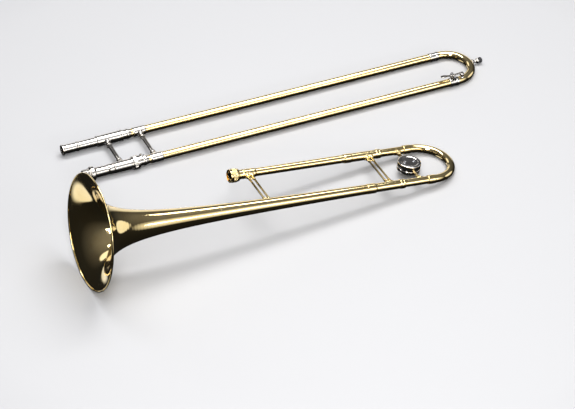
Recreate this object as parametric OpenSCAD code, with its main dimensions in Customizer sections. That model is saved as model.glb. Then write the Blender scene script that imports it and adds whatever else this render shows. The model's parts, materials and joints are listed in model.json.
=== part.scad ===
// Tenor trombone taken apart: the bell section rests on its rim and its
// tuning slide, and the hand slide lies flat behind it. Millimetres, +Z up,
// floor at z = 0. The bell section is drawn in its own frame (X from the rim
// along the bell axis, Y from the bell axis to the neckpipe) and then posed.
// The hand slide has a frame of its own too (X towards the bow).

/* [Bell] */
// Diameter over the rolled rim
bell_d = 204; // [190:1:216]
// Wall of the flare and stem
bell_wall = 0.7; // [0.5:0.1:1]
// Radius of the wire rolled into the rim
rim_wire_r = 1.5; // [1:0.1:2]
// How fast the flare opens at the rim
flare_len = 13.5; // [12:0.5:16]
// Exponent of the flare
flare_power = 0.67; // [0.65:0.01:0.7]
// Rim to the seam between flare and stem
seam_x = 235; // [200:5:250]

/* [Bell section] */
// Bell axis to neckpipe axis
neck_y = 100; // [98:1:112]
// Rim to the lock nut's open face
nut_x = 298; // [290:1:305]
// Rim to the front brace
front_brace_x = 334; // [334:1:350]
// Rim to the rear brace
rear_brace_x = 567; // [562:1:572]
// Rim to the end of the tuning sleeves
sleeve_end_x = 592; // [588:1:596]
// Rim to the centre of the tuning crook's bend
crook_x = 654; // [650:1:665]
// Rim to the balance weight
weight_x = 626; // [618:1:628]
// Balance weight diameter
weight_d = 42; // [36:1:46]
// Height of the balance weight's upper half
weight_upper_h = 9.6; // [8:0.2:11]
// Height of the balance weight's lower half
weight_lower_h = 7.8; // [7:0.2:9]

/* [Tubes] */
// Neckpipe outside radius
neck_r = 7.25; // [7:0.05:7.5]
// Tuning leg outside radius
leg_r = 7; // [6.8:0.05:7.1]
// Outer slide tube outside radius
outer_r = 7.4; // [7.3:0.05:7.6]
// Outer slide tube wall
outer_wall = 0.5; // [0.4:0.05:0.6]
// Radial play of the stocking in the outer tube
stocking_play = 0.05; // [0.02:0.01:0.09]

/* [Hand slide] */
// Distance between the two tube axes
slide_pitch = 85; // [82:1:95]
// Slide receiver collar to the end of the outer tubes
outer_end_x = 728; // [720:1:740]
// Length of the stockings
stocking_len = 110; // [90:5:120]
// Grip brace from the slide's origin
grip_x = 70; // [68:1:72]
// Hand brace on the outer slide
hand_x = 134; // [130:1:150]

/* [Layout] */
// Roll of the bell section towards its neckpipe, degrees
rest_roll = 2; // [0:0.5:6]
// Slide centre line behind the bell axis
slide_y = 300; // [240:5:330]
// World X of the slide's origin, before centring
slide_x = 88; // [80:1:96]

/* [Hidden] */
$fn = 72;
rim_r = bell_d / 2;
wire_x = -0.4;
wire_ring_r = rim_r - rim_wire_r;
stem_end_x = 528;
stem_ferrule_x = stem_end_x - 10;
sleeve_r = leg_r + 0.95;
sleeve_bore_r = leg_r + 0.05;
leg_wall = 0.6;
crook_r = leg_r + 0.35;
bend_r = neck_y / 2;

nut_r = 12.4;
nut_len = 18;
collar_x = nut_x + 11;
nut_bore_r = 10.8;
tenon_r = 8.5;
pipe_sleeve_r = 8.4;
collar_r = 9.9;
neck_bore_r = neck_r - 0.65;

brace_rod_r = 1.8;
brace_gap = 8.6;
pad_wall = 0.9;
pad_r = 9.5;
weight_gap = 1.6;
balance_rod_r = 2.6;
weight_r = weight_d / 2;
screw_spread = 18;

outer_bore_r = outer_r - outer_wall;
stocking_r = outer_bore_r - stocking_play;
inner_r = stocking_r - 0.25;
inner_bore_r = inner_r - 0.4;
half_pitch = slide_pitch / 2;
inner_end_x = outer_end_x - 12;
barrel_x0 = 52;
barrel_x1 = 101.3;
barrel_r = 9.7;
barrel_bore_r = 9;
bead_r = 10.6;
ring_x0 = 88;
ring_x1 = 99.4;
ring_r = 12.2;
ring_bore_r = 10;
stud_x = 106;
stud_r = 2;
outer_x0 = 61.5;
bead_x = 109;
ferrule_r = 8.5;
bow_x = outer_end_x + 7;
bow_ferrule_x1 = outer_end_x + 6;
receiver_x0 = -6;
receiver_bore_r = tenon_r + 0.03;
thread_r = 10.5;
foot_x = 14;
foot_r = 13;
mouth_x0 = -14;
mouth_bore_r = 6.35;
leadpipe_x1 = 230;
key_x = outer_end_x - 4;
key_z = 14;
key_cup_x = bow_x + 7;
lock_open = 40;
stud_angle = 60;

// Outer radius of the bell at a distance x from the rim plane
function bell_r(x) = rim_r * pow(flare_len / (x + flare_len), flare_power);
function bell_slope(x) = -flare_power * bell_r(x) / (x + flare_len);
// A point set in from the bell's outer face by t
function bell_point(x, t) = let(s = bell_slope(x), n = sqrt(1 + s * s))
    [bell_r(x) - t / n, x + t * s / n];
// Stations that crowd together where the flare is steep
function stations(a, b, n) = [for (i = [0 : n]) a + (b - a) * pow(i / n, a < 1 ? 2.2 : 1)];

// Lowest points of rim and crook when the section is pitched by t degrees
function rim_low(t) = -sin(t) * wire_x - cos(t) * wire_ring_r - rim_wire_r;
function crook_low(t) = -sin(t) * crook_x - cos(t) * sin(rest_roll) * bend_r
    - bend_r * sqrt(pow(sin(t), 2) + pow(cos(t) * sin(rest_roll), 2)) - crook_r;
// Halves the bracket until both touch the same floor
function rest_pitch(a, b, n = 30) = n == 0 ? (a + b) / 2
    : let(m = (a + b) / 2)
        crook_low(m) > rim_low(m) ? rest_pitch(m, b, n - 1) : rest_pitch(a, m, n - 1);

bell_pitch = rest_pitch(0, 20);
slide_tilt = atan((foot_r - ferrule_r) / (bow_ferrule_x1 - foot_x));
slide_lift = sin(slide_tilt) * foot_x + cos(slide_tilt) * foot_r;
tip_x = bow_x + half_pitch + outer_r + 20;
box_x0 = cos(bell_pitch) * wire_x - sin(bell_pitch) * wire_ring_r - rim_wire_r;
box_x1 = slide_x + cos(slide_tilt) * tip_x + sin(slide_tilt) * 2.5;
box_y0 = -rim_r;
box_y1 = slide_y + half_pitch + bead_r - 0.3;
mid_x = (box_x0 + box_x1) / 2;
mid_y = (box_y0 + box_y1) / 2;

BRASS = "#c9a24a";
NICKEL = "#c4bfb6";
STEEL = "#b9bcc0";
CORK = "#a9805a";
RUBBER = "#26262a";

// ---------- frames ----------
module in_bell() {
    translate([-mid_x, -mid_y, -rim_low(bell_pitch)])
        rotate([-rest_roll, bell_pitch, 0])
            children();
}
module in_slide() {
    translate([slide_x - mid_x, slide_y - mid_y, slide_lift])
        rotate([0, slide_tilt, 0])
            children();
}
// Side of the slide: +1 is the mouthpiece tube, -1 the bell tube
module on_tube(side) translate([0, side * half_pitch, 0]) children();
module on_neck() translate([0, neck_y, 0]) children();

// ---------- shapes ----------
// Turns an outline of [radius, x] points about the X axis
module lathe_x(points) rotate([0, 90, 0]) rotate_extrude() polygon(points);
module rod_x(x0, x1, r) translate([x0, 0, 0]) rotate([0, 90, 0]) cylinder(h = x1 - x0, r = r);
module rod_y(y0, y1, r) translate([0, y1, 0]) rotate([90, 0, 0]) cylinder(h = y1 - y0, r = r);
module tube_x(x0, x1, r, bore) {
    difference() {
        rod_x(x0, x1, r);
        rod_x(x0 - 1, x1 + 1, bore);
    }
}
module half_bend(radius, r, bore) {
    rotate([0, 0, -90]) rotate_extrude(angle = 180) translate([radius, 0]) difference() {
        circle(r);
        circle(bore);
    }
}
// The bell as a solid of revolution between two stations
module bell_shell(x0, x1, n) {
    s = stations(x0, x1, n);
    lathe_x(concat(
        [for (x = s) bell_point(x, 0)],
        [for (i = [n : -1 : 0]) bell_point(s[i], bell_wall)]
    ));
}
module bell_solid(x0, x1) {
    s = [for (i = [0 : 8]) x0 + (x1 - x0) * i / 8];
    lathe_x(concat([[0, x0]], [for (x = s) [bell_r(x), x]], [[0, x1]]));
}
// Curved pad on a tube along X, facing +Y or -Y from the tube's axis
module tube_pad(x, r, side) {
    difference() {
        intersection() {
            rod_x(x - pad_r, x + pad_r, r + pad_wall);
            translate([x, 0, 0]) rod_y(side > 0 ? 0 : -r - 3, side > 0 ? r + 3 : 0, pad_r);
        }
        rod_x(x - pad_r - 1, x + pad_r + 1, r);
    }
}
// Two parallel rods with a cross collar near each end
module twin_rods(x, y0, y1) {
    translate([x, 0, 0]) {
        for (s = [-1, 1]) {
            translate([s * brace_gap / 2, 0, 0]) rod_y(y0, y1, brace_rod_r);
            for (y = [y0 + 9, y1 - 9])
                translate([s * brace_gap / 2, 0, 0]) rod_y(y - 1.5, y + 1.5, brace_rod_r + 0.7);
        }
        for (y = [y0 + 9, y1 - 9])
            translate([0, y, 0]) cube([brace_gap, 2.4, 2.4], center = true);
    }
}
// Base block of a brace flange, standing on a pad
module flange_block(x, y0, y1) {
    translate([x, 0, 0]) difference() {
        union() {
            rod_y(y0, y1, 3.2);
            for (s = [-1, 1])
                translate([s * brace_gap / 2, 0, 0]) rod_y(y0, y1, 3.2);
        }
        for (s = [-1, 1])
            translate([s * brace_gap / 2, 0, 0]) rod_y(y0 - 1, y1 + 1, brace_rod_r);
    }
}

// ---------- bell ----------
module bell_rim() {
    color(BRASS) in_bell() translate([wire_x, 0, 0]) rotate([0, 90, 0])
        rotate_extrude() translate([wire_ring_r, 0]) circle(rim_wire_r);
}
module bell_flare() {
    color(BRASS) in_bell() difference() {
        bell_shell(0.3, seam_x, 44);
        translate([wire_x, 0, 0]) rotate([0, 90, 0])
            rotate_extrude() translate([wire_ring_r, 0]) circle(rim_wire_r);
    }
}
module bell_stem() {
    color(BRASS) in_bell() bell_shell(seam_x, stem_end_x, 20);
}
module bell_ferrule() {
    color(BRASS) in_bell() difference() {
        lathe_x([
            [6, stem_ferrule_x], [8.8, stem_ferrule_x], [9.05, stem_ferrule_x + 1],
            [9.05, stem_end_x + 5], [8.5, stem_end_x + 8], [6, stem_end_x + 8],
        ]);
        bell_solid(stem_ferrule_x - 8, stem_end_x);
        rod_x(stem_end_x - 1, stem_end_x + 20, sleeve_r);
    }
}
// Sleeve that holds a tuning leg, with a turned ring at its mouth
module tuning_sleeve() {
    lathe_x([
        [sleeve_bore_r, stem_end_x], [sleeve_r, stem_end_x],
        [sleeve_r, sleeve_end_x - 9], [sleeve_r + 0.6, sleeve_end_x - 8],
        [sleeve_r + 0.6, sleeve_end_x - 4], [sleeve_r + 0.1, sleeve_end_x - 3],
        [sleeve_r + 0.6, sleeve_end_x - 2], [sleeve_r + 0.4, sleeve_end_x],
        [sleeve_bore_r, sleeve_end_x],
    ]);
}
module bell_tuning_sleeve() {
    color(BRASS) in_bell() tuning_sleeve();
}

// ---------- neckpipe ----------
module neck_tenon() {
    x = nut_x;
    color(BRASS) in_bell() on_neck() lathe_x([
        [neck_bore_r, x + 1], [tenon_r - 0.5, x + 1], [tenon_r, x + 3],
        [tenon_r, collar_x - 0.2], [collar_r, collar_x], [collar_r, collar_x + 3.2],
        [pipe_sleeve_r, collar_x + 3.2], [pipe_sleeve_r, x + 25],
        [pipe_sleeve_r + 0.5, x + 26], [pipe_sleeve_r, x + 27],
        [pipe_sleeve_r, x + 47], [neck_r + 0.4, x + 50], [neck_r, x + 50],
        [neck_r, x + 20], [neck_bore_r, x + 20],
    ]);
}
module neckpipe() {
    color(BRASS) in_bell() on_neck() tube_x(nut_x + 20, stem_end_x, neck_r, neck_bore_r);
}
module neck_ferrule() {
    color(BRASS) in_bell() on_neck() difference() {
        lathe_x([
            [5, stem_end_x - 8], [7.8, stem_end_x - 8], [8.4, stem_end_x - 6],
            [8.4, stem_end_x + 5], [8.2, stem_end_x + 7], [5, stem_end_x + 7],
        ]);
        rod_x(stem_end_x - 20, stem_end_x, neck_r);
        rod_x(stem_end_x - 0.5, stem_end_x + 20, sleeve_r);
    }
}
module neck_tuning_sleeve() {
    color(BRASS) in_bell() on_neck() tuning_sleeve();
}

// ---------- braces ----------
module front_brace() {
    color(BRASS) in_bell() difference() {
        twin_rods(front_brace_x, 8, neck_y - pipe_sleeve_r - pad_wall - 0.5);
        bell_solid(front_brace_x - 20, front_brace_x + 20);
        rod_x(front_brace_x - 20, front_brace_x + 20, bell_r(front_brace_x) + pad_wall);
    }
}
module front_flange_neck() {
    color(BRASS) in_bell() difference() {
        union() {
            on_neck() tube_pad(front_brace_x, pipe_sleeve_r, -1);
            flange_block(front_brace_x, neck_y - pipe_sleeve_r - 4.5, neck_y - pipe_sleeve_r);
        }
        on_neck() rod_x(front_brace_x - 20, front_brace_x + 20, pipe_sleeve_r);
        twin_rods(front_brace_x, 8, neck_y - pipe_sleeve_r - pad_wall - 0.5);
    }
}
module front_flange_bell() {
    r = bell_r(front_brace_x);
    color(BRASS) in_bell() difference() {
        union() {
            tube_pad(front_brace_x, r - 0.6, 1);
            flange_block(front_brace_x, r - 1, r + 5);
        }
        bell_solid(front_brace_x - 20, front_brace_x + 20);
        front_rods_cut();
    }
}
module front_rods_cut() {
    difference() {
        twin_rods(front_brace_x, 8, neck_y - 20);
        rod_x(front_brace_x - 20, front_brace_x + 20, bell_r(front_brace_x) + pad_wall);
    }
}
module rear_brace() {
    color(BRASS) in_bell() twin_rods(rear_brace_x, sleeve_r + pad_wall + 0.5,
        neck_y - sleeve_r - pad_wall - 0.5);
}
module rear_flange(side) {
    difference() {
        union() {
            tube_pad(rear_brace_x, sleeve_r, side);
            flange_block(rear_brace_x, side > 0 ? sleeve_r - 1 : -sleeve_r - 4.5,
                side > 0 ? sleeve_r + 4.5 : -sleeve_r + 1);
        }
        rod_x(rear_brace_x - 20, rear_brace_x + 20, sleeve_r);
        translate([rear_brace_x, 0, 0]) for (s = [-1, 1])
            translate([s * brace_gap / 2, 0, 0]) rod_y(
                side > 0 ? sleeve_r + pad_wall + 0.5 : -30,
                side > 0 ? 30 : -sleeve_r - pad_wall - 0.5, brace_rod_r);
    }
}
module rear_flange_neck() {
    color(BRASS) in_bell() on_neck() rear_flange(-1);
}
module rear_flange_bell() {
    color(BRASS) in_bell() rear_flange(1);
}

// ---------- lock nut ----------
module bell_lock_nut() {
    x = nut_x;
    knurls = 36;
    color(BRASS) in_bell() on_neck() difference() {
        lathe_x([
            [nut_bore_r, x], [nut_r - 0.8, x], [nut_r - 0.4, x + 0.6], [nut_r - 0.4, x + 2],
            [nut_r - 0.9, x + 2.6], [nut_r - 0.9, x + 3.6], [nut_r, x + 4.2],
            [nut_r, x + 12.2], [nut_r - 0.6, x + 13.2], [nut_r - 1.2, x + nut_len - 1.2],
            [nut_r - 2.2, x + nut_len], [pipe_sleeve_r + 0.4, x + nut_len],
            [pipe_sleeve_r + 0.4, collar_x + 3.6], [nut_bore_r, collar_x + 3.6],
        ]);
        for (i = [0 : knurls - 1]) rotate([i * 360 / knurls, 0, 0])
            translate([x + 5.2, nut_r + 0.3, 0]) rotate([0, 90, 0]) cylinder(h = 6, r = 0.7);
    }
}

// ---------- tuning slide ----------
module tuning_crook() {
    color(BRASS) in_bell() {
        translate([crook_x, bend_r, 0]) half_bend(bend_r, crook_r, crook_r - 0.7);
        for (y = [0, neck_y]) translate([0, y, 0])
            tube_x(crook_x - 6, crook_x + 0.01, crook_r, crook_r - 0.7);
    }
}
module tuning_leg() tube_x(stem_end_x + 6, crook_x - 6, leg_r, leg_r - leg_wall);
module tuning_leg_neck() {
    color(BRASS) in_bell() on_neck() tuning_leg();
}
module tuning_leg_bell() {
    color(BRASS) in_bell() tuning_leg();
}
module tuning_ferrule() {
    difference() {
        lathe_x([
            [5, crook_x - 16], [leg_r + 0.7, crook_x - 16], [leg_r + 1.1, crook_x - 15],
            [leg_r + 1.1, crook_x - 4], [crook_r + 0.5, crook_x - 1.5], [5, crook_x - 1.5],
        ]);
        rod_x(crook_x - 20, crook_x - 6, leg_r);
        rod_x(crook_x - 6.5, crook_x, crook_r);
    }
}
module tuning_ferrule_neck() {
    color(BRASS) in_bell() on_neck() tuning_ferrule();
}
module tuning_ferrule_bell() {
    color(BRASS) in_bell() tuning_ferrule();
}
module balance_brace() {
    color(BRASS) in_bell() difference() {
        union() {
            translate([weight_x, 0, 0]) {
                rod_y(leg_r - 1, neck_y - leg_r + 1, balance_rod_r);
                for (e = [[leg_r - 1, leg_r + 5], [neck_y - leg_r - 5, neck_y - leg_r + 1]])
                    rod_y(e[0], e[1], 4.2);
            }
            tube_pad(weight_x, leg_r, 1);
            on_neck() tube_pad(weight_x, leg_r, -1);
        }
        for (y = [0, neck_y]) translate([0, y, 0])
            rod_x(weight_x - 20, weight_x + 20, leg_r);
    }
}
// One half of the weight, above the rod; the other is turned over
module weight_half(h) {
    translate([weight_x, bend_r, 0]) rotate_extrude() polygon([
        [0, weight_gap / 2], [weight_r - 1, weight_gap / 2],
        [weight_r, weight_gap / 2 + 1], [weight_r, h - 1.6],
        [weight_r - 0.5, h - 0.5], [weight_r - 1.6, h],
        [weight_r - 5, h], [weight_r - 6, h - 0.8],
        [0, h - 0.8],
    ]);
}
module weight_screw_holes() {
    translate([weight_x, 0, 0]) rod_y(0, neck_y, balance_rod_r);
    for (s = [-1, 1]) translate([weight_x + s * screw_spread / 2, bend_r, 0]) {
        translate([0, 0, 1 - weight_lower_h]) cylinder(h = 20, r = 1.6);
        translate([0, 0, weight_upper_h - 3.4]) cylinder(h = 10, r = 3.3);
    }
}
module balance_weight_upper() {
    color(STEEL) in_bell() difference() {
        weight_half(weight_upper_h);
        weight_screw_holes();
    }
}
module balance_weight_lower() {
    color(STEEL) in_bell() difference() {
        mirror([0, 0, 1]) weight_half(weight_lower_h);
        weight_screw_holes();
    }
}
// Clamp screw through both halves, with a slotted head on top
module weight_screw(side) {
    foot = 1.4 - weight_lower_h;
    head = weight_upper_h - 3.4;
    color(STEEL) in_bell() translate([weight_x + side * screw_spread / 2, bend_r, 0]) {
        translate([0, 0, foot]) cylinder(h = head - foot + 0.2, r = 1.5);
        difference() {
            translate([0, 0, head]) cylinder(h = 2.4, r = 3.1);
            translate([0, 0, head + 2.4]) cube([8, 0.8, 1.6], center = true);
        }
    }
}
module weight_screw_front() weight_screw(-1);
module weight_screw_rear() weight_screw(1);

// ---------- inner slide ----------
module mouthpiece_receiver() {
    x = mouth_x0;
    color(NICKEL) in_slide() on_tube(1) lathe_x([
        [mouth_bore_r, x], [8.9, x], [9.4, x + 0.8], [9.4, x + 3.4], [8.5, x + 4.2],
        [8.1, x + 28], [8.9, x + 29], [8.9, x + 31], [8, x + 32], [8.3, barrel_x0],
        [inner_r, barrel_x0], [inner_r, x + 34], [5.7, x + 34], [mouth_bore_r, x + 12],
    ]);
}
module leadpipe() {
    color(BRASS) in_slide() on_tube(1) lathe_x([
        [5.3, mouth_x0 + 34.3], [inner_bore_r, mouth_x0 + 34.3],
        [inner_bore_r, leadpipe_x1], [inner_bore_r - 0.35, leadpipe_x1], [5.7, leadpipe_x1 - 110],
    ]);
}
module slide_receiver() {
    x = receiver_x0;
    n = 6;
    pitch = 1.8;
    color(NICKEL) in_slide() on_tube(-1) lathe_x(concat(
        [[receiver_bore_r, x], [thread_r - 0.8, x]],
        [for (i = [0 : n - 1]) each [
            [thread_r - 0.8, x + 1 + i * pitch],
            [thread_r, x + 1 + (i + 0.5) * pitch],
        ]],
        [
            [thread_r - 0.8, x + 1 + n * pitch], [thread_r - 0.8, foot_x - 7],
            [foot_r, foot_x - 6], [foot_r, foot_x], [foot_r - 1.6, foot_x + 1],
            [9.2, foot_x + 4], [8.6, 40], [9.3, 44], [9.3, barrel_x0],
            [inner_r, barrel_x0], [inner_r, 22], [6.3, 22], [6.6, 14],
            [receiver_bore_r, 12],
        ]
    ));
}
module inner_tube(x0) tube_x(x0, inner_end_x, inner_r, inner_bore_r);
module inner_tube_upper() {
    color(NICKEL) in_slide() on_tube(1) inner_tube(mouth_x0 + 34.3);
}
module inner_tube_lower() {
    color(NICKEL) in_slide() on_tube(-1) inner_tube(22.3);
}
module stocking() tube_x(inner_end_x - stocking_len, inner_end_x, stocking_r, inner_r);
module stocking_upper() {
    color(NICKEL) in_slide() on_tube(1) stocking();
}
module stocking_lower() {
    color(NICKEL) in_slide() on_tube(-1) stocking();
}
// Barrel that the outer slide's top enters, with a wall at its closed end
module cork_barrel_upper() {
    color(NICKEL) in_slide() on_tube(1) lathe_x([
        [inner_r, barrel_x0], [barrel_r - 0.6, barrel_x0], [barrel_r, barrel_x0 + 1],
        [barrel_r, barrel_x1 - 3], [bead_r - 0.3, barrel_x1 - 2.4], [bead_r - 0.3, barrel_x1],
        [barrel_bore_r, barrel_x1], [barrel_bore_r, barrel_x0 + 2], [inner_r, barrel_x0 + 2],
    ]);
}
module cork_barrel_lower() {
    color(NICKEL) in_slide() on_tube(-1) lathe_x([
        [inner_r, barrel_x0], [barrel_r - 0.6, barrel_x0], [barrel_r, barrel_x0 + 1],
        [barrel_r, ring_x0 - 3], [bead_r, ring_x0 - 2.4], [bead_r, ring_x0 - 0.4],
        [barrel_r, ring_x0 - 0.4], [barrel_r, ring_x1 + 0.4], [bead_r, ring_x1 + 0.4],
        [bead_r, barrel_x1], [barrel_bore_r, barrel_x1],
        [barrel_bore_r, barrel_x0 + 2], [inner_r, barrel_x0 + 2],
    ]);
}
module barrel_cork() tube_x(barrel_x0 + 2, outer_x0 - 0.8, barrel_bore_r, inner_r);
module barrel_cork_upper() {
    color(CORK) in_slide() on_tube(1) barrel_cork();
}
module barrel_cork_lower() {
    color(CORK) in_slide() on_tube(-1) barrel_cork();
}
// Turned cross bar between two tubes of radius r
module cross_bar(x, r, bar_r) {
    y = half_pitch - r;
    translate([x, 0, 0]) rotate([-90, 0, 0]) rotate_extrude() polygon([
        [0, -y], [bar_r + 2.6, -y], [bar_r + 2.6, -y + 2.5], [bar_r + 0.6, -y + 5],
        [bar_r, -y + 9], [bar_r + 1, -y + 10], [bar_r + 1, -y + 12], [bar_r, -y + 13],
        [bar_r, y - 13], [bar_r + 1, y - 12], [bar_r + 1, y - 10], [bar_r, y - 9],
        [bar_r + 0.6, y - 5], [bar_r + 2.6, y - 2.5], [bar_r + 2.6, y], [0, y],
    ]);
}
module grip_brace() {
    color(NICKEL) in_slide() difference() {
        cross_bar(grip_x, barrel_r - 2, 4);
        for (s = [-1, 1]) on_tube(s) rod_x(grip_x - 12, grip_x + 12, barrel_r);
    }
}
// Part of the hook's wall, between two angles measured from +Y towards +Z
module hook_sector(a0, a1) {
    rotate([a0, 0, 0]) rotate([0, 90, 0]) rotate([0, 0, 90])
        rotate_extrude(angle = a1 - a0) polygon([
            [11.1, ring_x1 - 1], [ring_r, ring_x1 - 1], [ring_r, stud_x + 5],
            [11.1, stud_x + 5],
        ]);
}
// Knurled ring with a slotted hook that turns over the lock stud
module slide_lock_ring() {
    flutes = 30;
    color(NICKEL) in_slide() on_tube(-1) {
        difference() {
            lathe_x([
                [ring_bore_r, ring_x0], [ring_r - 0.5, ring_x0], [ring_r, ring_x0 + 0.6],
                [ring_r, ring_x1 - 0.6], [ring_r - 0.5, ring_x1], [ring_bore_r, ring_x1],
            ]);
            for (i = [0 : flutes - 1]) rotate([i * 360 / flutes, 0, 0])
                translate([ring_x0 + 2, ring_r + 0.3, 0]) rotate([0, 90, 0])
                    cylinder(h = 5.4, r = 0.7);
        }
        rotate([stud_angle + lock_open, 0, 0]) difference() {
            hook_sector(-24, 24);
            translate([stud_x - stud_r - 0.4, 8, -20])
                cube([2 * stud_r + 0.8, 8, 20 + stud_r + 0.4]);
        }
    }
}

// ---------- outer slide ----------
module outer_tube() tube_x(outer_x0, outer_end_x, outer_r, outer_bore_r);
module outer_tube_upper() {
    color(BRASS) in_slide() on_tube(1) outer_tube();
}
module outer_tube_lower() {
    color(BRASS) in_slide() on_tube(-1) outer_tube();
}
module top_ferrule() {
    lathe_x([
        [outer_r, outer_x0], [ferrule_r, outer_x0], [ferrule_r, bead_x],
        [ferrule_r + 0.6, bead_x + 1], [ferrule_r + 0.6, bead_x + 4], [ferrule_r, bead_x + 5],
        [outer_r + 0.3, bead_x + 9], [outer_r, bead_x + 9],
    ]);
}
module top_ferrule_upper() {
    color(NICKEL) in_slide() on_tube(1) top_ferrule();
}
module top_ferrule_lower() {
    color(NICKEL) in_slide() on_tube(-1) top_ferrule();
}
module lock_stud() {
    color(NICKEL) in_slide() on_tube(-1) difference() {
        translate([stud_x, 0, 0]) rotate([stud_angle, 0, 0]) rod_y(6, 13.6, stud_r);
        rod_x(stud_x - 9, stud_x + 9, ferrule_r);
    }
}
module hand_brace() {
    color(NICKEL) in_slide() difference() {
        cross_bar(hand_x, ferrule_r - 2, 3.8);
        for (s = [-1, 1]) on_tube(s) rod_x(hand_x - 12, hand_x + 12, ferrule_r);
    }
}
module hand_flange_upper() {
    color(NICKEL) in_slide() on_tube(1) hand_flange();
}
module hand_flange_lower() {
    color(NICKEL) in_slide() on_tube(-1) hand_flange();
}
module hand_flange() {
    lathe_x([
        [outer_r, hand_x - 12], [ferrule_r - 0.5, hand_x - 12], [ferrule_r, hand_x - 10],
        [ferrule_r, hand_x + 10], [ferrule_r - 0.5, hand_x + 12], [outer_r, hand_x + 12],
    ]);
}
module bow_ferrule() {
    x0 = outer_end_x - 12;
    x1 = bow_ferrule_x1;
    lathe_x([
        [outer_r, x0], [ferrule_r - 0.6, x0], [ferrule_r, x0 + 2], [ferrule_r, x0 + 4],
        [ferrule_r - 0.5, x0 + 5], [ferrule_r - 0.5, x1 - 5], [ferrule_r, x1 - 4],
        [ferrule_r, x1], [outer_r, x1],
    ]);
}
module bow_ferrule_upper() {
    color(NICKEL) in_slide() on_tube(1) bow_ferrule();
}
module bow_ferrule_lower() {
    color(NICKEL) in_slide() on_tube(-1) bow_ferrule();
}
module slide_bow() {
    color(BRASS) in_slide() difference() {
        union() {
            translate([bow_x, 0, 0]) half_bend(half_pitch, outer_r, outer_bore_r);
            for (s = [-1, 1]) on_tube(s)
                tube_x(outer_end_x, bow_x + 0.01, outer_r, outer_bore_r);
        }
        on_tube(-1) translate([key_cup_x, 0, 0]) cylinder(h = 12, r = 2);
    }
}
module end_knob() {
    x = bow_x + half_pitch;
    color(NICKEL) in_slide() difference() {
        lathe_x([
            [0, x + 5], [4.6, x + 5], [4.6, x + 9], [3, x + 10.5], [3, x + 15],
            [4.4, x + 16], [5, x + 18], [5, x + 20.5], [0, x + 20.5],
        ]);
        translate([bow_x, 0, 0]) rotate_extrude() translate([half_pitch, 0]) circle(outer_r);
    }
}
module end_tip() {
    x = bow_x + half_pitch;
    color(RUBBER) in_slide() lathe_x([
        [0, x + 20.5], [4.6, x + 20.5], [5.4, x + 22], [5.4, x + 25],
        [4.6, x + 26.8], [2.5, x + outer_r + 20], [0, x + outer_r + 20],
    ]);
}

// ---------- water key ----------
module in_key() in_slide() on_tube(-1) children();
module water_key_nipple() {
    color(NICKEL) in_key() difference() {
        translate([key_cup_x, 0, 0]) difference() {
            cylinder(h = 10, r = 3.2);
            translate([0, 0, -1]) cylinder(h = 12, r = 2);
        }
        translate([bow_x, half_pitch, 0]) rotate_extrude()
            translate([half_pitch, 0]) circle(outer_r);
        rod_x(outer_end_x - 10, bow_x + 0.01, outer_r);
    }
}
// Two ears soldered to the bow ferrule, carrying the pivot screw
module water_key_saddle() {
    color(NICKEL) in_key() difference() {
        union() {
            translate([key_x - 4, -6.5, 5]) cube([8, 13, 4.2]);
            for (y = [-6.5, 4.5]) {
                translate([key_x - 3, y, 6]) cube([6, 2, key_z - 6]);
                translate([key_x, 0, key_z]) rod_y(y, y + 2, 3);
            }
        }
        translate([key_x, 0, key_z]) rod_y(-9, 9, 1.3);
        rod_x(key_x - 20, key_x + 20, ferrule_r);
    }
}
module water_key_screw() {
    color(STEEL) in_key() translate([key_x, 0, key_z]) {
        rod_y(-8, 6.5, 1.25);
        rod_y(-8.4, -6.8, 2.4);
    }
}
// Closely wound coil around the pivot, with a leg to each side
module water_key_spring() {
    wire = 0.6;
    coil_r = 2.2;
    color(STEEL) in_key() translate([key_x, 0, key_z]) {
        difference() {
            rod_y(1.8, 3.9, coil_r + wire / 2);
            rod_y(1, 5, coil_r - wire / 2);
        }
        translate([-9, 2, coil_r - 0.1]) cube([9, wire, 0.4]);
        translate([0, 3.1, -coil_r - 0.3]) cube([2.6, wire, 0.4]);
    }
}
module water_key_lever() {
    color(NICKEL) in_key() difference() {
        union() {
            translate([key_x, 0, key_z]) rod_y(-3.8, 1.2, 2.9);
            translate([key_x, -3.2, key_z + 1]) cube([key_cup_x - key_x, 3.8, 1.9]);
            translate([key_x - 14, -3.2, key_z + 1]) cube([14, 3.8, 1.9]);
            translate([key_x - 26, -5, key_z + 3.4]) cube([12, 7.4, 1.7]);
            translate([key_x - 16, -3.2, key_z + 1]) cube([3, 3.8, 4.1]);
            translate([key_cup_x, 0, 10.9]) cylinder(h = 6, r = 4.4);
        }
        translate([key_x, 0, key_z]) rod_y(-9, 9, 1.31);
        translate([key_cup_x, 0, 9]) cylinder(h = 3.2, r = 3.7);
    }
}
module water_key_cork() {
    color(CORK) in_key() translate([key_cup_x, 0, 10.4]) cylinder(h = 1.8, r = 3.65);
}

// ---------- parts ----------
bell_rim();
bell_flare();
bell_stem();
bell_ferrule();
bell_tuning_sleeve();
neck_tenon();
neckpipe();
neck_ferrule();
neck_tuning_sleeve();
front_brace();
front_flange_neck();
front_flange_bell();
rear_brace();
rear_flange_neck();
rear_flange_bell();
bell_lock_nut();
tuning_crook();
tuning_leg_neck();
tuning_leg_bell();
tuning_ferrule_neck();
tuning_ferrule_bell();
balance_brace();
balance_weight_upper();
balance_weight_lower();
weight_screw_front();
weight_screw_rear();
mouthpiece_receiver();
leadpipe();
slide_receiver();
inner_tube_upper();
inner_tube_lower();
stocking_upper();
stocking_lower();
cork_barrel_upper();
cork_barrel_lower();
barrel_cork_upper();
barrel_cork_lower();
grip_brace();
slide_lock_ring();
outer_tube_upper();
outer_tube_lower();
top_ferrule_upper();
top_ferrule_lower();
lock_stud();
hand_brace();
hand_flange_upper();
hand_flange_lower();
bow_ferrule_upper();
bow_ferrule_lower();
slide_bow();
end_knob();
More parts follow.
